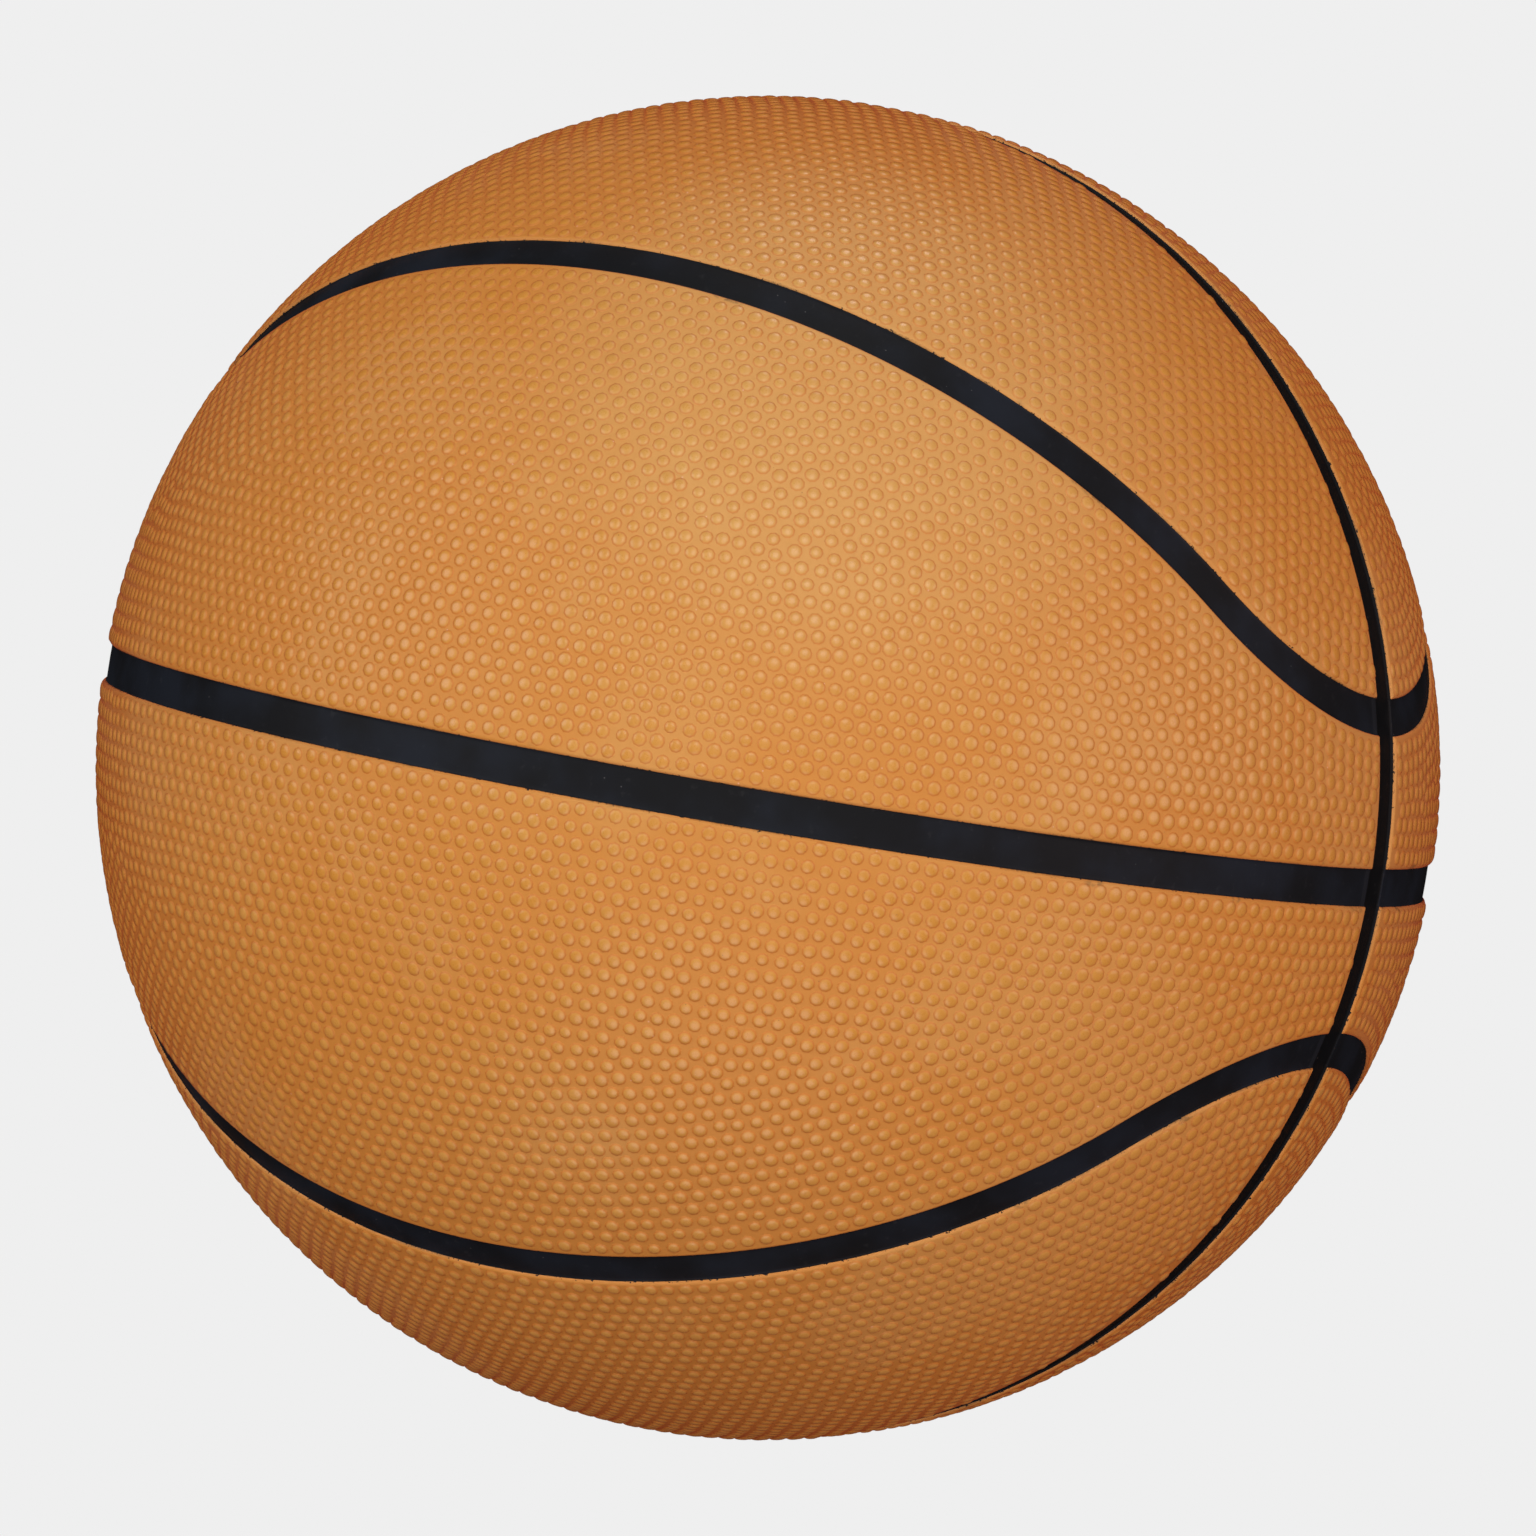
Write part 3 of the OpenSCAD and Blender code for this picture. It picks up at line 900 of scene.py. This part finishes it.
def cover_rubber(colours):
    """Orange moulded rubber. Lift, the share of a pebble's height, blends the valley's colour into
    the pebble tops' and darkens the foot of each flank with painted shade. Noise over the ball
    brings in dust and bloom, and a pale patch at the upper front in the same colours is a painted
    sheen. Small specks lie over all, and a lighter orange band along each panel's rounded shoulder
    is a painted highlight. Black paint runs round the walls up to a ragged edge: the rim distance
    with small teeth in it. A thin tinted coat with almost no gloss paints shade: it deepens the
    colour towards the ball's outline."""
    board = Board(bpy.data.materials.new("cover_rubber"))
    lift, rim, tone = [board.attribute(name) for name in ("lift", "rim", "tone")]
    patch = board.noise(9 * MM, 3)
    grain = board.noise(0.7 * MM, 3, 0.6)
    height = board.separate(2) / BALL_R
    # painted sheen: a pale patch round one direction at the upper front, which turns pebble tops
    # towards the dust colour and valleys towards the bloom colour
    pale = board.towards((0.377, -0.7, 0.606)).step(0.84, 0.99) * (0.5 + patch)
    dusty = (board.noise(55 * MM, 2) - height * 0.25 + patch * 0.2).step(0.45, 0.75) * 0.5
    elsewhere = board.add("ShaderNodeMapping", {}, {
        "Vector": board.place(), "Location": (0.31, 0.17, 0.23)})
    hazy = (board.noise(48 * MM, 2, where=elsewhere) + patch * 0.25).step(0.6, 0.78) * 0.5
    # dust and bloom colours: real dust and bloom from the noise, and painted sheen inside the pale
    # patch
    top = board.blend(dusty.most(pale), opaque(colours.cover), opaque(colours.dust))
    valley = board.blend(hazy.most(pale), opaque(colours.valley), opaque(colours.bloom))
    # painted shade: a darker, redder ring at the foot of each pebble's flank, standing in for the
    # shade and red bounced light in the crease
    painted_crease_shade = lift.step(0, 0.2) * (1 - lift.step(0.35, 0.7))
    smear = board.noise(11 * MM, 2).step(0.64, 0.7) * (1 - rim.step(0.9, 1.6))
    smear = smear * board.noise(1.2 * MM, 3, 0.6).step(0.35, 0.6)
    teeth = board.noise(0.6 * MM, 2, 0.7).step(0.57, 0.66) * board.noise(2.5 * MM, 2) * 0.75
    edge = 0.2 + teeth * 0.8 + (board.noise(6 * MM, 2) - 0.5) * 0.2
    fringe = (1 - (rim - edge).step(0.05, 0.5)) * board.noise(16 * MM, 2).step(0.5, 0.62)
    fringe = fringe * board.noise(0.5 * MM, 3, 0.7).step(0.3, 0.6)
    paint = 1 - (rim - edge).step(-0.03, 0.03)
    colour = board.layers(
        valley,
        (lift.step(0.05, 0.8), top),
        ((tone * 0.5 + 0.5).least(1).most(0) * 0.16, opaque(colours.valley, 0.84)),
        (grain.step(0.5, 0.75) * 0.12, opaque(colours.valley, 0.8)),
        (painted_crease_shade * 0.42, opaque(colours.painted_crease_shade)),
        (board.specks(3.1 * MM, 0.045) * 0.45, opaque((0.2, 0.07, 0.03))),
        (board.specks(4.3 * MM, 0.04) * 0.5, opaque((0.8, 0.55, 0.4))),
        # painted highlight: a lighter orange band along the rounded shoulder, up to 0.8 mm from
        # the wall's foot
        ((1 - rim.step(0.3, 0.8)) * 0.4, opaque((0.78, 0.34, 0.085))),
        (smear.most(fringe) * 0.6, opaque((0.11, 0.075, 0.02))),
        (paint, opaque(colours.paint)))
    rough = 0.62 - lift.step(0.2, 0.9) * 0.34 + (grain - 0.5) * 0.1 + paint * 0.3
    normal = board.bump(grain * 0.5 + board.noise(0.25 * MM, 2) * 0.5, 0.02 * MM, 0.7)
    # painted shade: the coat's tint, with an IOR of almost 1 and so hardly any gloss, darkens and
    # reddens the colour towards the ball's outline
    return board.finish(Base_Color=colour, Roughness=rough, Normal=normal, IOR=1.5,
                        Specular_IOR_Level=0.5, Coat_Weight=1.0, Coat_Roughness=0.5,
                        Coat_IOR=1.005, Coat_Tint=(0.985, 0.9, 0.94, 1))


def channel_rubber(colours):
    """Black painted rubber with bluish clouds, a fine grain and a little dust. By the distance
    beside the meridian channel it is painted darker in that deeper channel as shade, is worn
    through at its edge, and is painted greyer on the lip along it at the front as a highlight."""
    board = Board(bpy.data.materials.new("channel_rubber"))
    cloud = board.noise(14 * MM, 3)
    grain = board.noise(0.6 * MM, 3, 0.6)
    dust = board.specks(2.6 * MM, 0.05) * 0.5 + board.noise(1.5 * MM, 3).step(0.62, 0.8) * 0.05
    beside = board.attribute("beside")
    front = (board.separate(1) * -500).step(0, 1)  # 1 from 2 mm in front of the middle
    # painted highlight: the lip beside the meridian channel, on the front half only, is painted
    # greyer
    lip = beside.step(-0.05, 0.1) * (1 - beside.step(1.55, 1.75)) * front
    worn = (beside + 0.02).step(-0.02, 0.04) * (1 - beside.step(0.1, 0.22))
    worn = worn * board.noise(0.9 * MM, 2, 0.6).step(0.62, 0.72)
    colour = board.layers(
        opaque(colours.paint),
        (cloud.step(0.35, 0.7), opaque((0.0105, 0.0135, 0.0215))),
        (lip * (0.35 + cloud * 0.5), opaque(colours.paint, 2.6)),
        # painted shade: the deeper meridian channel is painted darker than the other channels
        (1 - beside.step(-0.15, 0), opaque(colours.paint, 0.45)),
        (worn * 0.5, opaque((0.09, 0.05, 0.028))),
        (dust, opaque((0.16, 0.16, 0.17))))
    rough = 0.58 + (cloud - 0.5) * 0.16 + (grain - 0.5) * 0.15
    normal = board.bump(grain, 0.02 * MM, 0.6)
    return board.finish(Base_Color=colour, Roughness=rough, Normal=normal, IOR=1.5,
                        Specular_IOR_Level=0.12)


def valve_rubber(colours, name, tint):
    """Dense black rubber of the valve, with a fine moulded grain."""
    board = Board(bpy.data.materials.new(name))
    grain = board.noise(0.5 * MM, 3, 0.6)
    colour = board.blend(grain, opaque(colours.valve, tint), opaque(colours.valve, tint * 1.6))
    normal = board.bump(grain, 0.02 * MM, 0.6)
    return board.finish(Base_Color=colour, Roughness=0.5 + (grain - 0.5) * 0.3, Normal=normal)


def bladder_rubber(colours):
    """Dull butyl rubber with a powdery bloom."""
    board = Board(bpy.data.materials.new("bladder_rubber"))
    bloom = board.noise(12 * MM, 4, 0.6)
    colour = board.blend(
        bloom.step(0.4, 0.75) * 0.35, opaque(colours.bladder), opaque((0.2, 0.2, 0.2)))
    normal = board.bump(board.noise(0.8 * MM, 3), 0.03 * MM, 0.6)
    return board.finish(Base_Color=colour, Roughness=0.7 + bloom * 0.15, Normal=normal)


def nylon_thread(colours):
    """Wound thread: bands that cross in three directions, each band a wave over the ball."""
    board = Board(bpy.data.materials.new("nylon_thread"))
    height = None
    for turn in ((0, 0, 0), (1.0, 0.4, 0), (0.3, 1.2, 0.8)):
        where = board.add("ShaderNodeMapping", {}, {"Vector": board.place(), "Rotation": turn})
        band = board.add("ShaderNodeTexWave", {"bands_direction": "Z"}, {
            "Vector": where, "Scale": 1 / (3 * MM), "Distortion": 1.5, "Detail": 1.0},
            output="Fac")
        height = band if height is None else height.most(band)
    # painted shade: the thread is darker where the bands lie low, between them
    colour = board.blend(height, opaque(colours.thread, 0.55), opaque(colours.thread))
    normal = board.bump(height, 0.15 * MM, 0.8)
    return board.finish(Base_Color=colour, Roughness=0.55 + (1 - height) * 0.2, Normal=normal)


def wear(piece, material):
    """Gives the whole piece this one material."""
    piece.data.materials.clear()
    piece.data.materials.append(material)


class BALL_OT_cover_panels(bpy.types.Operator):
    """Make the eight cover panels with their pebbles, in place of the plain ones"""

    bl_idname = "ball.cover_panels"
    bl_label = "Cover Panels"
    bl_options = {"REGISTER", "UNDO"}

    def execute(self, context):
        scene = context.scene
        cover = Cover(scene)
        material = cover_rubber(scene.ball_colours)
        quarters = [("upper", "front", (1, 1, 1)), ("upper", "back", (1, -1, 1)),
                    ("lower", "front", (1, 1, -1)), ("lower", "back", (1, -1, -1))]
        for number, (level, side, signs) in enumerate(quarters):
            for kind in ("band", "cap"):
                draw = np.random.default_rng(scene.ball_pebbles.seed + 10 * number + len(kind))
                node = f"{level}_{side}_{kind}"
                piece = cover.panel(f"{node}_pebbled", kind, np.array(signs), draw)
                wear(piece, material)
                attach(piece, "root")
                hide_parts(node)
        return {"FINISHED"}


class BALL_OT_channel_floors(bpy.types.Operator):
    """Make the ribbed carcass, whose rib tops are the painted channel floors"""

    bl_idname = "ball.channel_floors"
    bl_label = "Channel Floors"
    bl_options = {"REGISTER", "UNDO"}

    def execute(self, context):
        scene = context.scene
        points, triangles = bored(*carcass_skin(scene), STEM_HOLE_R * MM)
        piece = mesh_object("ribbed_carcass", points, triangles)
        far = Seams(scene.ball_channels).distances(unit(points))["meridian"]
        float_attribute(piece, "beside", (far - scene.ball_channels.meridian_width / 2) / MM)
        wear(piece, channel_rubber(scene.ball_colours))
        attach(piece, "root")
        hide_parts("carcass")
        return {"FINISHED"}


class BALL_OT_valve(bpy.types.Operator):
    """Make the valve's housing and core with rounded rims and a sunk ring round the core"""

    bl_idname = "ball.valve"
    bl_label = "Valve"
    bl_options = {"REGISTER", "UNDO"}

    def execute(self, context):
        colours = context.scene.ball_colours
        # profiles of corners: radius, height above the ball's middle and reach of its round, mm
        face, flange = BALL_R / MM - FACE_SUNK, FLANGE_TOP
        housing = rounded([
            (4.2, flange - 0.35, 0.3), (4.2, face, 0.35), (3.85, face, 0.1),
            (3.7, face - 0.22, 0.1), (3.5, face - 0.22, 0.1), (3.35, face, 0.1),
            (3.0, face, 0.12), (3.0, face - 1.7, 0.1),
            (2.2, face - 1.7, 0.1), (2.2, 105.8, 0.1), (2.9, 105.8, 0.1), (2.9, 103.2, 0.1),
            (1.3, 103.2, 0.1), (1.3, 100.3, 0.2), (4.2, 100.3, 0.6), (4.2, flange - 1.2, 0.6),
            (8.5, flange - 1.25, 0), (13, flange - 1.5, 0.3), (13, flange - 0.78, 0.3),
            (8.5, flange - 0.33, 0)])
        core = rounded([
            (0, 103.3, 0), (2.8, 103.3, 0.5), (2.8, 105.7, 0.4), (2.1, 105.7, 0.3),
            (2.1, face - 1.6, 0.3), (2.9, face - 1.6, 0.2), (2.9, face, 0.3), (1.6, face, 0.2),
            (1.0, face - 0.7, 0.3), (1.0, face - 6, 0.1), (0, face - 6, 0)])
        for node, slot, profile, tint in (("valve_housing", "valve_rubber", housing, 1.0),
                                          ("valve_core", "core_rubber", core, 2.2)):
            piece = mesh_object(f"{node}_turned", *lathe(profile))
            wear(piece, valve_rubber(colours, slot, tint))
            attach(piece, "root")
            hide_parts(node)
        return {"FINISHED"}


class BALL_OT_inner_layers(bpy.types.Operator):
    """Give the bladder and the thread winding their finishes"""

    bl_idname = "ball.inner_layers"
    bl_label = "Inner Layers"
    bl_options = {"REGISTER", "UNDO"}

    def execute(self, context):
        colours = context.scene.ball_colours
        wear(frame["nodes"]["bladder"], bladder_rubber(colours))
        wear(frame["nodes"]["thread_winding"], nylon_thread(colours))
        return {"FINISHED"}


def outwards(turn, rise):
    """Unit vector from the ball's middle at the angle turn round from the front and the angle
    rise above the equator."""
    across = math.cos(rise)
    return Vector((math.sin(turn) * across, -math.cos(turn) * across, math.sin(rise)))


class BALL_OT_stage(bpy.types.Operator):
    """Set up the camera, the seamless pale floor and background, and the soft lights"""

    bl_idname = "ball.stage"
    bl_label = "Stage"
    bl_options = {"REGISTER", "UNDO"}

    def execute(self, context):
        scene = context.scene
        studio = scene.ball_studio
        self.camera(scene, studio)
        self.background(scene, studio)
        self.floor(studio)
        self.lights(scene, studio)
        scene.view_settings.view_transform = "Standard"
        scene.view_settings.look = "None"
        return {"FINISHED"}

    def camera(self, scene, studio):
        """Stands on the line from the ball's middle, looks at it and is turned about its view."""
        data = bpy.data.cameras.new("camera")
        data.lens, data.sensor_width = studio.lens, 36
        camera = bpy.data.objects.new("camera", data)
        scene.collection.objects.link(camera)
        back = outwards(studio.azimuth, studio.elevation)
        look = (-back).to_track_quat("-Z", "Y").to_matrix()
        turn = look @ Matrix.Rotation(studio.lean, 3, "Z")
        camera.matrix_world = Matrix.Translation(back * studio.distance) @ turn.to_4x4()
        scene.camera = camera

    def background(self, scene, studio):
        """The camera sees the backdrop's grey. The ball is lit by a weaker, even light."""
        board = Board(bpy.data.worlds.new("studio"))
        given = board.add("ShaderNodeBackground", {}, {
            "Color": opaque((1, 1, 1)), "Strength": studio.ambient})
        seen = board.add("ShaderNodeBackground", {}, {"Color": opaque((studio.backdrop,) * 3)})
        watched = board.add("ShaderNodeLightPath", output="Is Camera Ray")
        scene.world = board.show(
            board.add("ShaderNodeMixShader", {}, {0: watched, 1: given, 2: seen}), "World")

    def floor(self, studio):
        """A wide round floor under the ball that glows evenly in the backdrop's grey, takes no
        shadow and gives the ball no light."""
        sides, reach = 96, 30
        rim = spokes(Z_AXIS, sides) * reach
        points = np.concatenate([[[0, 0, 0]], rim]) - BALL_R * Z_AXIS
        here = np.arange(sides)
        triangles = np.stack([0 * here, 1 + here, 1 + (here + 1) % sides], axis=1)
        piece = mesh_object("studio_floor", points, triangles)
        board = Board(bpy.data.materials.new("studio_floor"))
        wear(piece, board.show(board.add("ShaderNodeEmission", {}, {
            "Color": opaque((studio.backdrop,) * 3), "Strength": 1.0})))
        piece.visible_diffuse = piece.visible_glossy = piece.visible_shadow = False

    def lights(self, scene, studio):
        """Soft boxes placed by the angle round the ball from the camera, the height above the
        horizon, the distance, the width, the power and the colour."""
        boxes = {
            "front": (0, 8, 1.7, 1.6, 3.8, (0.9, 1, 0.84)),
            "left": (-60, 15, 1.7, 1.4, 15.2, (1, 0.95, 0.91)),
            "right": (60, 15, 1.7, 1.4, 13.8, (1, 0.79, 0.74)),
            "top_front": (0, 34, 1.7, 1, 8.6, (1, 1, 0.97)),
            "top": (10, 66, 1.6, 0.9, 1.1, (0.84, 0.9, 1)),
            "overhead": (-176, 84, 1.5, 0.5, 3.4, (1, 0.97, 0.92)),
            "back": (180, -3, 1.7, 0.5, 22, (1, 0.96, 0.92)),
            "low": (0, -40, 1.7, 1.4, 13.2, (1, 0.87, 0.84)),
        }
        for name, (turn, height, distance, width, power, colour) in boxes.items():
            data = bpy.data.lights.new(name, "AREA")
            data.shape, data.size, data.energy, data.color = "DISK", width, power, colour
            light = bpy.data.objects.new(name, data)
            scene.collection.objects.link(light)
            back = outwards(studio.azimuth + math.radians(turn), math.radians(height))
            light.location = back * distance
            light.rotation_euler = (-back).to_track_quat("-Z", "Y").to_euler()
            light.visible_camera = False


class BALL_PT_dresser(bpy.types.Panel):
    """Sizes, colours and steps of the ball"""

    bl_idname = "BALL_PT_dresser"
    bl_label = "Ball"
    bl_space_type = "VIEW_3D"
    bl_region_type = "UI"
    bl_category = "Ball"

    def draw(self, context):
        layout = self.layout
        for name in GROUPS:
            group = getattr(context.scene, name)
            box = layout.box()
            for key in group.__annotations__:
                box.prop(group, key)
        for step in STEPS:
            layout.operator(step.bl_idname)


GROUPS = {"ball_channels": BallChannels, "ball_pebbles": BallPebbles,
          "ball_colours": BallColours, "ball_studio": BallStudio}
STEPS = (BALL_OT_stage, BALL_OT_cover_panels, BALL_OT_channel_floors, BALL_OT_valve,
         BALL_OT_inner_layers)


def register():
    for kind in (*GROUPS.values(), *STEPS, BALL_PT_dresser):
        bpy.utils.register_class(kind)
    for name, kind in GROUPS.items():
        setattr(bpy.types.Scene, name, PointerProperty(type=kind))


def unregister():
    for name in GROUPS:
        delattr(bpy.types.Scene, name)
    for kind in reversed((*GROUPS.values(), *STEPS, BALL_PT_dresser)):
        bpy.utils.unregister_class(kind)


def main():
    """Makes every piece."""
    register()
    bpy.ops.ball.stage()
    bpy.ops.ball.cover_panels()
    bpy.ops.ball.channel_floors()
    bpy.ops.ball.valve()
    bpy.ops.ball.inner_layers()


if __name__ == "__main__":
    main()
